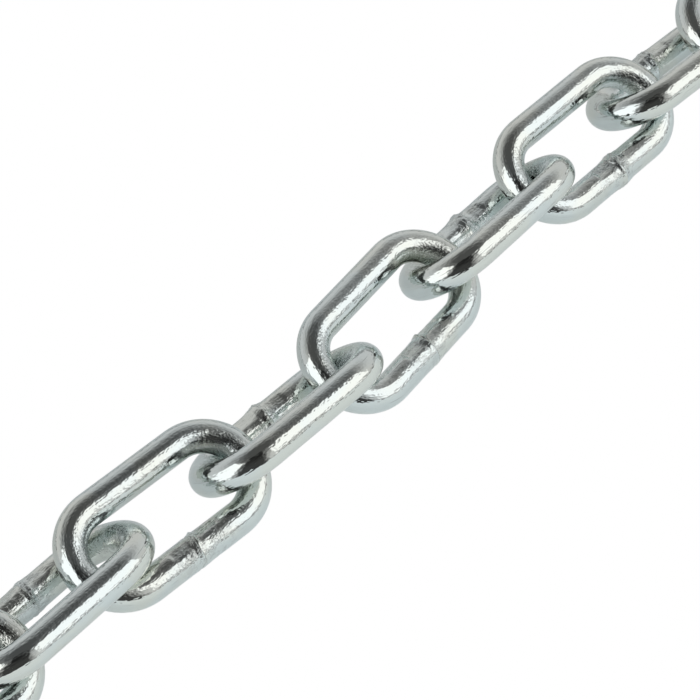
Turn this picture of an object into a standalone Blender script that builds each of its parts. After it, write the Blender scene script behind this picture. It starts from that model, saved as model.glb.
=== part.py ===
"""A metre of welded steel chain, lying straight on a level floor.

Every link is one closed loop of round wire: two straight legs and two half-round crowns, and it
passes through both its neighbours. The links lean left and right by turns, each lying on one leg.
+X runs along the chain, +Y is its left side, +Z is up and the floor is z = 0.
"""

import math
from collections import namedtuple

import bpy
import numpy as np
from mathutils import Matrix, Vector

# Driving sizes, in metres
WIRE = 0.008
INNER_LENGTH = 0.040
OUTER_WIDTH = 0.030
LINK_COUNT = 25
# between the wires of two neighbours, where they cross
CLEARANCE = 0.0005

# How a link lies: its yaw on the floor and the lean of its plane, in degrees, and then how far the
# next link sits to the left of it and how far it is from being pulled tight, in metres
Lie = namedtuple("Lie", "yaw lean side slack")

# The first seven are the links that the photo shows, from its lower left to its upper right. The
# eighth fills the run, which repeats along the chain.
RUN = (
    Lie(0.5, 27, -0.0005, 0.0030),
    Lie(-4.5, 30, -0.0012, 0),
    Lie(-1.5, 36, 0.0008, 0.0005),
    Lie(6.5, 32, -0.0009, 0),
    Lie(1.5, 36, 0.0010, 0),
    Lie(-1, 34, 0.0008, 0.0005),
    Lie(-3.5, 28, 0, 0.0010),
    Lie(2, 29, 0, 0.0005),
)
# the number of the link that takes the first place of a run
FIRST_IN_RUN = 10

# The mesh: flats round the wire, and steps round one crown
FLATS = 12
CROWN_STEPS = 10

# Sizes that follow
CROWN_RADIUS = (OUTER_WIDTH - WIRE) / 2
STRAIGHT = INNER_LENGTH + WIRE - 2 * CROWN_RADIUS
FLAT_ANGLE = 2 * math.pi / FLATS
# the polygon round the wire has the area of a round wire
CORNER_RADIUS = WIRE / 2 * math.sqrt(FLAT_ANGLE / math.sin(FLAT_ANGLE))
FLAT_RADIUS = CORNER_RADIUS * math.cos(FLAT_ANGLE / 2)

# The search for a tight step: points on each crown, and halvings
CROWN_POINTS = 90
HALVINGS = 16

# The finish
ZINC_COLOUR = (0.62, 0.65, 0.66, 1.0)
ZINC_ROUGHNESS = 0.28


def clear_scene():
    for thing in list(bpy.data.objects):
        bpy.data.objects.remove(thing, do_unlink=True)


def zinc():
    """Bright zinc plating on steel."""
    material = bpy.data.materials.new("bright_zinc")
    material.use_nodes = True
    shader = material.node_tree.nodes["Principled BSDF"]
    shader.inputs["Base Color"].default_value = ZINC_COLOUR
    shader.inputs["Metallic"].default_value = 1.0
    shader.inputs["Roughness"].default_value = ZINC_ROUGHNESS
    return material


def lie_of(number):
    return RUN[(number - FIRST_IN_RUN) % len(RUN)]


def turn_of(number):
    """A link's rotation: odd links have their left leg up, and even ones their right."""
    lie = lie_of(number)
    side = 1 if number % 2 else -1
    yaw = Matrix.Rotation(math.radians(lie.yaw), 4, "Z")
    return yaw @ Matrix.Rotation(side * math.radians(lie.lean), 4, "X")


def height_of(number):
    """The height of a link's centre, with its low leg on the floor."""
    return FLAT_RADIUS + CROWN_RADIUS * math.sin(math.radians(lie_of(number).lean))


def crown_line(end, steps):
    """One crown's centre line in the link's own plane, as (point, outward) pairs."""
    for step in range(steps + 1):
        angle = math.pi * (step / steps - 0.5)
        outward = Vector((end * math.cos(angle), end * math.sin(angle), 0))
        yield Vector((end * STRAIGHT / 2, 0, 0)) + CROWN_RADIUS * outward, outward


def placed_crown(number, end):
    """The points of one crown's centre line, as the link lies, about a centre on the floor plan."""
    lift = Vector((0, 0, height_of(number)))
    turn = turn_of(number)
    return np.array([turn @ point + lift for point, _ in crown_line(end, CROWN_POINTS)])


def step_after(number):
    """The way from a link's centre to the next one's, on the floor plan."""
    lie = lie_of(number)
    forward = turn_of(number).col[0] + turn_of(number + 1).col[0]
    ahead = np.array(forward.to_3d()) / 2
    side = np.array((0, lie.side, 0))
    far_crown = placed_crown(number, 1)
    near_crown = placed_crown(number + 1, -1)
    clear, tight = INNER_LENGTH - WIRE, INNER_LENGTH + WIRE
    for _ in range(HALVINGS):
        middle = (clear + tight) / 2
        apart = far_crown[:, None] - (near_crown + middle * ahead + side)[None]
        nearest = math.sqrt((apart**2).sum(axis=2).min())
        if nearest < WIRE + CLEARANCE:
            tight = middle
        else:
            clear = middle
    return Vector((clear - lie.slack) * ahead + side)


def link_mesh(name, lean, origin):
    """One link with its origin at a point of its own frame, and a flat of its wire facing down."""
    # from the low leg's outward side to the floor, the same for a link that leans either way
    down = math.radians(lean) - math.pi / 2
    stations = [*crown_line(1, CROWN_STEPS), *crown_line(-1, CROWN_STEPS)]
    vertices = []
    for point, outward in stations:
        for corner in range(FLATS):
            angle = down + (corner + 0.5) * FLAT_ANGLE
            rise = Vector((0, 0, math.sin(angle)))
            spoke = math.cos(angle) * outward + rise
            vertices.append(point + CORNER_RADIUS * spoke - origin)
    faces = []
    for station in range(len(stations)):
        here = station * FLATS
        there = (station + 1) % len(stations) * FLATS
        for corner in range(FLATS):
            after = (corner + 1) % FLATS
            faces.append((here + corner, there + corner, there + after, here + after))
    mesh = bpy.data.meshes.new(name)
    mesh.from_pydata(vertices, [], faces)
    mesh.shade_smooth()
    return mesh


def link_places():
    """Each link's matrix about its own centre, with the first link's centre over the origin."""
    centre = Vector((0, 0, 0))
    places = []
    for number in range(1, LINK_COUNT + 1):
        lift = Vector((0, 0, height_of(number)))
        places.append(Matrix.Translation(centre + lift) @ turn_of(number))
        if number < LINK_COUNT:
            centre += step_after(number)
    return places


def pivot_on(before, after):
    """Where the wire of the link before passes through a link's plane, in that link's own frame."""
    into_frame = after.inverted() @ before
    wire = [into_frame @ point for point, _ in crown_line(1, CROWN_POINTS)]
    low, high = next(pair for pair in zip(wire, wire[1:]) if pair[0].z * pair[1].z <= 0)
    return low.lerp(high, low.z / (low.z - high.z))


def pivots(places):
    """The point of each link's frame that it swings about. The first link is the chain's root."""
    return [Vector((0, 0, 0)), *map(pivot_on, places, places[1:])]


def build_chain():
    """The links, each one the child of the link before it, with its origin on its pivot."""
    material = zinc()
    places = link_places()
    links = []
    parent = None
    parent_stand = Matrix()
    for number, (place, pivot) in enumerate(zip(places, pivots(places)), start=1):
        name = f"link_{number:02d}"
        mesh = link_mesh(name, lie_of(number).lean, pivot)
        mesh.materials.append(material)
        link = bpy.data.objects.new(name, mesh)
        bpy.context.collection.objects.link(link)
        stand = place @ Matrix.Translation(pivot)
        link.parent = parent
        link.matrix_basis = parent_stand.inverted() @ stand
        parent = link
        parent_stand = stand
        links.append(link)
    return links


def centre_on_origin(links):
    """Moves the chain so the middle of its box is over the origin. The links follow the first."""
    bpy.context.view_layer.update()
    corners = [link.matrix_world @ vertex.co for link in links for vertex in link.data.vertices]
    for axis in (0, 1):
        reach = [corner[axis] for corner in corners]
        links[0].location[axis] -= (min(reach) + max(reach)) / 2
    links[0].location.z -= min(corner.z for corner in corners)


clear_scene()
centre_on_origin(build_chain())
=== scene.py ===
"""The looks of a metre of welded steel chain: fine zinc-plated links and studio light.

Each CAD link is read for its place and replaced by a finely meshed one with its weld, the flats
that the welding dies left beside it, and small dents. Lengths are metres and angles are radians
unless a name says otherwise.
"""

import math
from collections import namedtuple

import bpy
import numpy as np
from mathutils import Matrix, Vector, noise


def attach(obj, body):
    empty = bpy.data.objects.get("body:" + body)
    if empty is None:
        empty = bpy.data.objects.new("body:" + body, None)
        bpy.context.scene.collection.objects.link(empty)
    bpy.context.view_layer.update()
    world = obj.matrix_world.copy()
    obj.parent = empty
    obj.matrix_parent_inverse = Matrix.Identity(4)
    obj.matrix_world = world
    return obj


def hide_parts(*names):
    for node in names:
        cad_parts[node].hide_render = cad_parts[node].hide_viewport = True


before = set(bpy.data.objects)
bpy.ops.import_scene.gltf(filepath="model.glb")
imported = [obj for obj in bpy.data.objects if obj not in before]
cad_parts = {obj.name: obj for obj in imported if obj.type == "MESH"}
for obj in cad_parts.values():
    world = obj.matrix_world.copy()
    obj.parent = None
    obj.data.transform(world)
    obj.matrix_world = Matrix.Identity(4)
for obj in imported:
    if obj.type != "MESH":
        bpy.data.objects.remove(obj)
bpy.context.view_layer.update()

MM = 0.001

# The link, as in the CAD model
WIRE = 8 * MM
CROWN_RADIUS = 11 * MM
STRAIGHT = 26 * MM
WIRE_RADIUS = WIRE / 2
LOOP = 2 * STRAIGHT + 2 * math.pi * CROWN_RADIUS

# The fine mesh: vertices round the wire, and steps along it near the weld and elsewhere
ROUND = 48
WELD_STEP = 0.17 * MM
STEP = 0.44 * MM
WELD_ZONE = 8.5 * MM

# How long and how high the drawn wire's waves are, and how long the lumps at the weld
WAVE_LENGTH = 9 * MM
WAVE_HEIGHT = 0.035 * MM
LUMP_LENGTH = 1.3 * MM

# How far a bend draws the wire's outer side in, and presses its inner side flat
BEND_OUTER = 0.12 * MM
BEND_INNER = 0.10 * MM

# The flats of the welding dies: their middle's distance from the seam, half their length, how
# gently they end, and how far each is turned from its flat_way, in radians
FLAT_AWAY = 4.2 * MM
FLAT_HALF_LENGTH = 2.7 * MM
FLAT_END = 0.22 * MM
FLAT_TURN = 0.2

# The seam: how far its swell, its burr and the groove beside it reach along the wire, how far the
# last two lie from it, how much its lumps make it wander, and how far its scuffs reach
SWELL_LENGTH = 2.1 * MM
BURR_LENGTH = 0.5 * MM
BURR_AWAY = 0.2 * MM
GROOVE_LENGTH = 0.35 * MM
GROOVE_AWAY = 1.0 * MM
GROOVE_DEPTH = 0.12 * MM
SEAM_WANDER = 0.6 * MM
SCUFF_LENGTH = 7 * MM

# Small knocks in each link
DENTS = 60

# How a link's weld looks, with its ways round the wire in degrees, from the wire's outer side
# towards its top. slant is how far the seam runs askew. burr is the height of the rough metal that
# was squeezed out of the seam, mostly on the burr_way side. The welding dies pressed a flat on
# each side of the seam, which faces flat_way. scuff is how rough the leg is round the weld.
Weld = namedtuple("Weld", "shift slant swell burr burr_way flat_way flat_before flat_after scuff")

# The links that the camera sees closely, by number
SEEN_WELDS = {
    10: Weld(0.2 * MM, 0.5 * MM, 0.22 * MM, 0.55 * MM, 130, 100, 0.35 * MM, 0.25 * MM, 0.7),
    11: Weld(0.3 * MM, -0.8 * MM, 0.10 * MM, 0.28 * MM, 150, 125, 0.30 * MM, 0.34 * MM, 1.0),
    12: Weld(-0.6 * MM, 0.4 * MM, 0.55 * MM, 0.22 * MM, 110, 125, 0.55 * MM, 0.30 * MM, 0.6),
    13: Weld(0.0 * MM, -0.5 * MM, 0.20 * MM, 0.34 * MM, 165, 140, 0.50 * MM, 0.40 * MM, 0.5),
    14: Weld(0.3 * MM, 0.6 * MM, 0.52 * MM, 0.24 * MM, 110, 120, 0.50 * MM, 0.42 * MM, 0.6),
    15: Weld(0.2 * MM, -0.6 * MM, 0.48 * MM, 0.20 * MM, 140, 135, 0.60 * MM, 0.28 * MM, 0.8),
    16: Weld(-0.2 * MM, 0.5 * MM, 0.30 * MM, 0.45 * MM, 120, 100, 0.45 * MM, 0.35 * MM, 0.6),
}

Place = namedtuple("Place", "centre forward low up")


def place_of(node):
    """A link's centre and axes, read from its CAD solid: forward along the chain, low towards the
    leg that lies on the floor, and up square to both."""
    corners = np.unique(np.array([vertex.co for vertex in node.data.vertices]), axis=0)
    centre = corners.mean(axis=0)
    _, axes = np.linalg.eigh(np.cov((corners - centre).T))
    up, low, forward = axes.T
    return Place(centre, forward * np.sign(forward[0]), low * -np.sign(low[2]), up * np.sign(up[2]))


def stations():
    """Distances along the wire from the weld, once round the loop, close together at the weld."""
    near = np.arange(0, WELD_ZONE, WELD_STEP)
    far_steps = round((LOOP - 2 * WELD_ZONE) / STEP)
    far = np.linspace(WELD_ZONE, LOOP - WELD_ZONE, far_steps + 1)
    return np.concatenate([near, far, LOOP - near[:0:-1]])


def centre_line(along):
    """The wire's centre line in the link's plane: its forward and low distances, and the angle
    that its outer side has turned through from the low direction."""
    first_crown = STRAIGHT / 2
    second_crown = first_crown + math.pi * CROWN_RADIUS + STRAIGHT
    turned = np.clip((along - first_crown) / CROWN_RADIUS, 0, math.pi)
    turned += np.clip((along - second_crown) / CROWN_RADIUS, 0, math.pi)
    run = np.minimum(along, first_crown)
    run -= np.clip(along - first_crown - math.pi * CROWN_RADIUS, 0, STRAIGHT)
    run += np.maximum(along - second_crown - math.pi * CROWN_RADIUS, 0)
    forward = run + CROWN_RADIUS * np.sin(turned)
    low = CROWN_RADIUS * np.cos(turned)
    return forward, low, turned


def noise_at(points, scale, seed):
    """Smooth noise from about -1 to 1 at each point."""
    offset = Vector((seed * 17.3, seed * 5.1, seed * 11.7))
    return np.array([noise.noise(Vector(point) / scale + offset) for point in points])


def hump(distance, width):
    """1 in the middle, falling smoothly to about a third at the width."""
    return np.exp(-((distance / width) ** 2))


def flattened(radius, around, facing, depth):
    """The wire's radius after a flat of that depth is pressed into the side that faces that way."""
    square = np.cos(around - facing)
    reach = np.where(square > 0.3, (WIRE_RADIUS - depth) / np.maximum(square, 0.3), 1)
    return np.minimum(radius, reach)


def weld_of(number):
    if number in SEEN_WELDS:
        return SEEN_WELDS[number]
    chance = np.random.default_rng(number)
    return Weld(
        shift=chance.uniform(-0.5, 0.5) * MM,
        slant=chance.uniform(-0.8, 0.8) * MM,
        swell=chance.uniform(0.1, 0.42) * MM,
        burr=chance.uniform(0.25, 0.5) * MM,
        burr_way=chance.uniform(90, 165),
        flat_way=chance.uniform(100, 140),
        flat_before=chance.uniform(0.3, 0.55) * MM,
        flat_after=chance.uniform(0.28, 0.42) * MM,
        scuff=chance.uniform(0.5, 1.0),
    )


def from_weld(along, weld):
    """Signed distances along the wire from a weld's middle."""
    return np.where(along > LOOP / 2, along - LOOP, along) - weld.shift


def add_weld(radius, along, around, lumps, weld):
    """The upset of the butt weld and its burr, between the flats of the dies."""
    away = from_weld(along, weld)
    for side, depth in ((-1, weld.flat_before), (1, weld.flat_after)):
        middle = side * away - FLAT_AWAY
        press = 1 / (1 + np.exp((np.abs(middle) - FLAT_HALF_LENGTH) / FLAT_END))
        for way in (0, math.pi):
            facing = math.radians(weld.flat_way) + way + FLAT_TURN * side
            cut = flattened(radius, around, facing, depth)
            radius = radius + press * (cut - radius)
    seam = away - weld.slant * np.cos(around - 0.7) - SEAM_WANDER * lumps
    radius = radius + weld.swell * hump(seam, SWELL_LENGTH) * (1 + 0.4 * lumps)
    squeezed = 0.5 + 0.5 * np.cos(around - math.radians(weld.burr_way))
    burr = weld.burr * squeezed ** 2 * np.maximum(0.55 + 1.5 * lumps, 0)
    radius = radius + burr * hump(seam - BURR_AWAY, BURR_LENGTH)
    return radius - GROOVE_DEPTH * hump(seam + GROOVE_AWAY, GROOVE_LENGTH)


def wear_of(along, around, low, patches, weld):
    """How scuffed the wire is, from 0 to 1: near the weld, and on the crowns' inner sides."""
    near_weld = weld.scuff * hump(from_weld(along, weld), SCUFF_LENGTH)
    crown = 1 - np.clip(np.abs(low) / CROWN_RADIUS, 0, 1)
    inner = np.clip(0.6 - np.cos(around), 0, 1)
    return np.clip(np.maximum(near_weld, crown * inner) * (0.75 + 0.8 * patches), 0, 1)


def add_dents(radius, along, around, number):
    """Shallow knocks, which break up the long reflections."""
    chance = np.random.default_rng(100 + number)
    for _ in range(DENTS):
        at = chance.uniform(0, LOOP)
        towards = chance.uniform(0, 2 * math.pi)
        long_way = chance.uniform(0.6, 3.0) * MM
        short_way = chance.uniform(0.6, 1.1) * MM
        depth = chance.uniform(0.01, 0.05) * MM
        off = np.abs(along - at)
        off = np.minimum(off, LOOP - off)
        spread = np.angle(np.exp(1j * (around - towards))) * WIRE_RADIUS
        radius = radius - depth * hump(off, long_way) * hump(spread, short_way)
    return radius


def link_piece(name, place, number, material):
    """One finely meshed link in place of its CAD solid."""
    along, around = (grid.ravel() for grid in np.meshgrid(
        stations(), np.arange(ROUND) * 2 * math.pi / ROUND, indexing="ij"))
    forward, low, turned = centre_line(along)
    straight_wire = np.stack(
        [along, WIRE_RADIUS * np.cos(around), WIRE_RADIUS * np.sin(around)], axis=1)
    waves = noise_at(straight_wire, WAVE_LENGTH, number)
    lumps = noise_at(straight_wire, LUMP_LENGTH, number + 40)
    radius = WIRE_RADIUS + WAVE_HEIGHT * waves
    bend = np.abs(np.sin(turned)) ** 0.5
    radius = radius - BEND_OUTER * bend * np.maximum(np.cos(around), 0) ** 2
    radius = radius - BEND_INNER * bend * np.maximum(-np.cos(around), 0) ** 2
    weld = weld_of(number)
    radius = add_weld(radius, along, around, lumps, weld)
    radius = add_dents(radius, along, around, number)
    outward = np.sin(turned)[:, None] * place.forward + np.cos(turned)[:, None] * place.low
    spoke = np.cos(around)[:, None] * outward + np.sin(around)[:, None] * place.up
    points = place.centre + forward[:, None] * place.forward + low[:, None] * place.low
    points = points + radius[:, None] * spoke
    # the leg lies on the floor
    points[:, 2] = np.maximum(points[:, 2], 0)

    count = len(along) // ROUND
    here = np.arange(count)[:, None] * ROUND + np.arange(ROUND)
    there = np.roll(here, -1, axis=0)
    quads = np.stack(
        [here, there, np.roll(there, -1, axis=1), np.roll(here, -1, axis=1)], axis=-1)
    if np.linalg.det(np.stack([place.forward, place.low, place.up])) > 0:
        quads = quads[..., ::-1]
    mesh = bpy.data.meshes.new(name)
    mesh.from_pydata(points.tolist(), [], quads.reshape(-1, 4).tolist())
    mesh.shade_smooth()
    wear = mesh.attributes.new("wear", "FLOAT", "POINT")
    wear.data.foreach_set("value", wear_of(along, around, low, waves, weld).astype(np.float32))
    wire = mesh.attributes.new("wire", "FLOAT_VECTOR", "POINT")
    straight_wire[:, 0] += number * LOOP
    wire.data.foreach_set("vector", straight_wire.astype(np.float32).ravel())
    mesh.materials.append(material)
    piece = bpy.data.objects.new(f"{name}_fine", mesh)
    bpy.context.scene.collection.objects.link(piece)
    return piece


class Nodes:
    """A short way to add nodes to a tree and join them."""

    def __init__(self, tree):
        self.tree = tree

    def add(self, kind, inputs=(), **settings):
        node = self.tree.nodes.new(kind)
        for key, value in settings.items():
            setattr(node, key, value)
        for key, value in dict(inputs).items():
            if isinstance(value, bpy.types.NodeSocket):
                self.tree.links.new(value, node.inputs[key])
            else:
                node.inputs[key].default_value = value
        return node

    def math(self, operation, first, second=0.0):
        return self.add("ShaderNodeMath", {0: first, 1: second}, operation=operation).outputs[0]

    def ramp(self, value, low, high, to_low=0.0, to_high=1.0):
        """value mapped smoothly from low..high to to_low..to_high."""
        inputs = {"Value": value, "From Min": low, "From Max": high,
                  "To Min": to_low, "To Max": to_high}
        node = self.add("ShaderNodeMapRange", inputs, interpolation_type="SMOOTHSTEP")
        return node.outputs["Result"]

    def blend(self, share, first, second):
        node = self.add("ShaderNodeMix", {"Factor": share}, data_type="RGBA")
        colours = [socket for socket in node.inputs if socket.type == "RGBA"]
        for socket, value in zip(colours, (first, second)):
            if isinstance(value, bpy.types.NodeSocket):
                self.tree.links.new(value, socket)
            else:
                socket.default_value = value
        return next(socket for socket in node.outputs if socket.type == "RGBA")


# Zinc: two tints of the plating, and the soil that lies in its scratches and scuffs
COOL_ZINC = (0.700, 0.755, 0.750, 1.0)
WARM_ZINC = (0.735, 0.760, 0.715, 1.0)
SOIL = (0.16, 0.165, 0.17, 1.0)
SOIL_SHARE = 0.35
# Roughness of the plating where it is clean and where it is scuffed
SMOOTH, SCUFFED = 0.08, 0.20
# The depth that a bump of height 1 stands for, and the height of each kind of grain
GRAIN_DEPTH = 0.05 * MM
LINES_HEIGHT, FINE_HEIGHT, COARSE_HEIGHT, SCUFFS_HEIGHT = 1.3, 0.75, 0.9, 2.6


def zinc_material():
    """Bright zinc on drawn wire: lengthwise lines, fine grain, scuffs and faint tints."""
    material = bpy.data.materials.new("bright_zinc_plated")
    material.use_nodes = True
    tree = material.node_tree
    nodes = Nodes(tree)
    shader = tree.nodes["Principled BSDF"]
    shader.inputs["Metallic"].default_value = 1.0
    wire = nodes.add("ShaderNodeAttribute", attribute_name="wire").outputs["Vector"]
    wear = nodes.add("ShaderNodeAttribute", attribute_name="wear").outputs["Fac"]

    def grain(lengthwise, across, detail=2.0, roughness=0.5):
        """Noise with that many cells a metre along the wire and across it."""
        scaled = nodes.add("ShaderNodeVectorMath", {0: wire, 1: (lengthwise, across, across)},
                           operation="MULTIPLY").outputs[0]
        texture = nodes.add("ShaderNodeTexNoise", {
            "Vector": scaled, "Scale": 1.0, "Detail": detail, "Roughness": roughness})
        return texture.outputs["Fac"]

    tint = nodes.ramp(grain(70, 110), 0.38, 0.62)
    lines = grain(80, 1300, 1.0)
    fine = grain(1500, 2500, 0.0)
    coarse = grain(600, 1200, 1.0)
    scratches = nodes.ramp(grain(120, 2600, 1.0), 0.68, 0.78)
    blotches = nodes.ramp(grain(380, 560, 4.0, 0.75), 0.46, 0.58)
    scuffs = nodes.math("MULTIPLY", wear, blotches)

    soil = nodes.math("MULTIPLY", nodes.math("MAXIMUM", scratches, scuffs), SOIL_SHARE)
    plated = nodes.blend(tint, COOL_ZINC, WARM_ZINC)
    tree.links.new(nodes.blend(soil, plated, SOIL), shader.inputs["Base Color"])

    roughness = nodes.ramp(scuffs, 0.0, 1.0, SMOOTH, SCUFFED)
    tree.links.new(roughness, shader.inputs["Roughness"])

    rough_patches = nodes.math("MULTIPLY", scuffs, fine)
    height = nodes.math("MULTIPLY", lines, LINES_HEIGHT)
    for part, share in ((fine, FINE_HEIGHT), (coarse, COARSE_HEIGHT), (rough_patches, SCUFFS_HEIGHT)):
        height = nodes.math("ADD", height, nodes.math("MULTIPLY", part, share))
    bump = nodes.add("ShaderNodeBump", {
        "Strength": 1.0, "Distance": GRAIN_DEPTH, "Height": height})
    tree.links.new(bump.outputs["Normal"], shader.inputs["Normal"])
    return material


# The studio, seen from the chain: directions in degrees, round from +X towards +Y, and up
SoftBox = namedtuple("SoftBox", "azimuth half_width elevation half_height edge strength")
LEFT_BOX = SoftBox(170, 27, 28, 27, 4, 1.34)
RIGHT_BOX = SoftBox(306, 24, 32, 22, 5, 1.28)
DARK_SIDE = SoftBox(236, 32, 26, 44, 10, 0.92)
# The walls' light, from low down to high up, and the heights between which it fades
LOW_LIGHT, HIGH_LIGHT = 0.66, 0.085
FADE_FROM, FADE_TO = 20, 74
# The dark gap between the table and the lights: its top, half its edge and its share of the light
GAP_TOP, GAP_EDGE, GAP_LIGHT = 3, 2, 0.3
# What the camera sees behind the chain
BACKGROUND = 1.0


def studio_world():
    """A room that is dark behind the camera, with a soft box on each side of it and pale walls."""
    world = bpy.data.worlds.new("studio")
    world.use_nodes = True
    tree = world.node_tree
    tree.nodes.clear()
    nodes = Nodes(tree)
    direction = nodes.add("ShaderNodeTexCoord").outputs["Generated"]
    x, y, z = nodes.add("ShaderNodeSeparateXYZ", {0: direction}).outputs
    azimuth = nodes.math("MULTIPLY", nodes.math("ARCTAN2", y, x), 180 / math.pi)
    elevation = nodes.math("MULTIPLY", nodes.math("ARCSINE", z), 180 / math.pi)

    def inside(box):
        away = nodes.math("SUBTRACT", azimuth, box.azimuth)
        wrapped = nodes.add("ShaderNodeMath", {0: away, 1: 180.0, 2: -180.0}, operation="WRAP")
        away = nodes.math("ABSOLUTE", wrapped.outputs[0])
        wide = nodes.ramp(away, box.half_width - box.edge, box.half_width + box.edge, 1.0, 0.0)
        above = nodes.math("ABSOLUTE", nodes.math("SUBTRACT", elevation, box.elevation))
        tall = nodes.ramp(above, box.half_height - box.edge, box.half_height + box.edge, 1.0, 0.0)
        return nodes.math("MULTIPLY", nodes.math("MULTIPLY", wide, tall), box.strength)

    light = nodes.ramp(elevation, FADE_FROM, FADE_TO, LOW_LIGHT, HIGH_LIGHT)
    light = nodes.math("MULTIPLY", light, nodes.math("SUBTRACT", 1.0, inside(DARK_SIDE)))
    gap = nodes.ramp(elevation, GAP_TOP - GAP_EDGE, GAP_TOP + GAP_EDGE, GAP_LIGHT, 1.0)
    light = nodes.math("MULTIPLY", light, gap)
    light = nodes.math("MAXIMUM", light, inside(LEFT_BOX))
    light = nodes.math("MAXIMUM", light, inside(RIGHT_BOX))
    seen = nodes.add("ShaderNodeLightPath").outputs["Is Camera Ray"]
    room = nodes.add("ShaderNodeBackground", {"Color": (1, 1, 1, 1), "Strength": light}).outputs[0]
    plain = nodes.add("ShaderNodeBackground", {"Color": (1, 1, 1, 1), "Strength": BACKGROUND})
    both = nodes.add("ShaderNodeMixShader", {0: seen, 1: room, 2: plain.outputs[0]}).outputs[0]
    nodes.add("ShaderNodeOutputWorld", {"Surface": both})
    bpy.context.scene.world = world


# The table. Its glow is painted light, standing in for uneven studio light on it: more on the chain's
# right than on its left. The glow fade is how far from the middle line, in metres, the change is
# over.
FLOOR_SIZE = 40.0
FLOOR_TINT = (0.62, 0.65, 0.65, 1.0)
PAINTED_GLOW_TINT = (0.94, 0.985, 1.0, 1.0)
FLOOR_ROUGHNESS = 0.7
RIGHT_PAINTED_GLOW, LEFT_PAINTED_GLOW, PAINTED_GLOW_FADE = 0.54, 0.24, 0.04


def studio_floor():
    """A white table with a painted glow, standing in for uneven studio light on it. The chain
    reflects it, but the picture is cut out on plain white.
    """
    mesh = bpy.data.meshes.new("floor")
    half = FLOOR_SIZE / 2
    corners = [(-half, -half, 0), (half, -half, 0), (half, half, 0), (-half, half, 0)]
    mesh.from_pydata(corners, [], [(0, 1, 2, 3)])
    material = bpy.data.materials.new("white_table_painted_glow")
    material.use_nodes = True
    nodes = Nodes(material.node_tree)
    shader = material.node_tree.nodes["Principled BSDF"]
    shader.inputs["Base Color"].default_value = FLOOR_TINT
    shader.inputs["Roughness"].default_value = FLOOR_ROUGHNESS
    shader.inputs["Specular IOR Level"].default_value = 0.0
    shader.inputs["Emission Color"].default_value = PAINTED_GLOW_TINT
    place = nodes.add("ShaderNodeTexCoord").outputs["Object"]
    side = nodes.add("ShaderNodeSeparateXYZ", {0: place}).outputs["Y"]
    # painted light: the table glows brighter on the chain's right, at -Y, than on its left, standing
    # in for uneven studio light that the chain's undersides reflect
    painted_glow = nodes.ramp(side, -PAINTED_GLOW_FADE, PAINTED_GLOW_FADE, RIGHT_PAINTED_GLOW, LEFT_PAINTED_GLOW)
    material.node_tree.links.new(painted_glow, shader.inputs["Emission Strength"])
    mesh.materials.append(material)
    floor = bpy.data.objects.new("floor", mesh)
    bpy.context.scene.collection.objects.link(floor)
    floor.visible_camera = False


# The camera, as the photo was taken. PICTURE is its width in pixels. AIM_PIXEL is where the point
# one wire's thickness above the floor at AIM_LINK's middle comes in the picture, and WIRE_PIXELS
# is how wide the wire is there.
PICTURE = 700
FOCAL_PIXELS = 2862
SENSOR_MM = 36
NEAR_CLIP = 10 * MM
AIM_LINK = "link_13"
AIM_PIXEL = (391.04, 325.79)
WIRE_PIXELS = 33.91
HEADING = math.radians(49.42)
LOOK_DOWN = math.radians(43.58)
ROLL = math.radians(-10.25)


def photo_camera(places):
    """The camera, looking along the chain and down on it."""
    heading = Vector((math.cos(HEADING), math.sin(HEADING), 0))
    ahead = math.cos(LOOK_DOWN) * heading - math.sin(LOOK_DOWN) * Vector((0, 0, 1))
    level = ahead.cross(Vector((0, 0, 1))).normalized()
    upright = level.cross(ahead)
    right = math.cos(ROLL) * level + math.sin(ROLL) * upright
    up = math.cos(ROLL) * upright - math.sin(ROLL) * level
    aim = Vector(places[AIM_LINK].centre)
    aim.z = WIRE
    distance = FOCAL_PIXELS / WIRE_PIXELS * WIRE
    across, down = (pixel - PICTURE / 2 for pixel in AIM_PIXEL)
    away = distance * (ahead + across / FOCAL_PIXELS * right - down / FOCAL_PIXELS * up)
    camera = bpy.data.cameras.new("photo_camera")
    camera.lens = FOCAL_PIXELS / PICTURE * SENSOR_MM
    camera.sensor_width = SENSOR_MM
    camera.clip_start = NEAR_CLIP
    holder = bpy.data.objects.new("photo_camera", camera)
    axes = Matrix((right, up, -ahead)).transposed()
    holder.matrix_world = Matrix.Translation(aim - away) @ axes.to_4x4()
    bpy.context.scene.collection.objects.link(holder)
    bpy.context.scene.camera = holder


def build_chain():
    material = zinc_material()
    places = {name: place_of(node) for name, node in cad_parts.items()}
    for name in sorted(places):
        piece = link_piece(name, places[name], int(name[-2:]), material)
        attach(piece, name)
        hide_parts(name)
    return places


places = build_chain()
studio_world()
studio_floor()
photo_camera(places)
bpy.context.scene.view_settings.view_transform = "Standard"
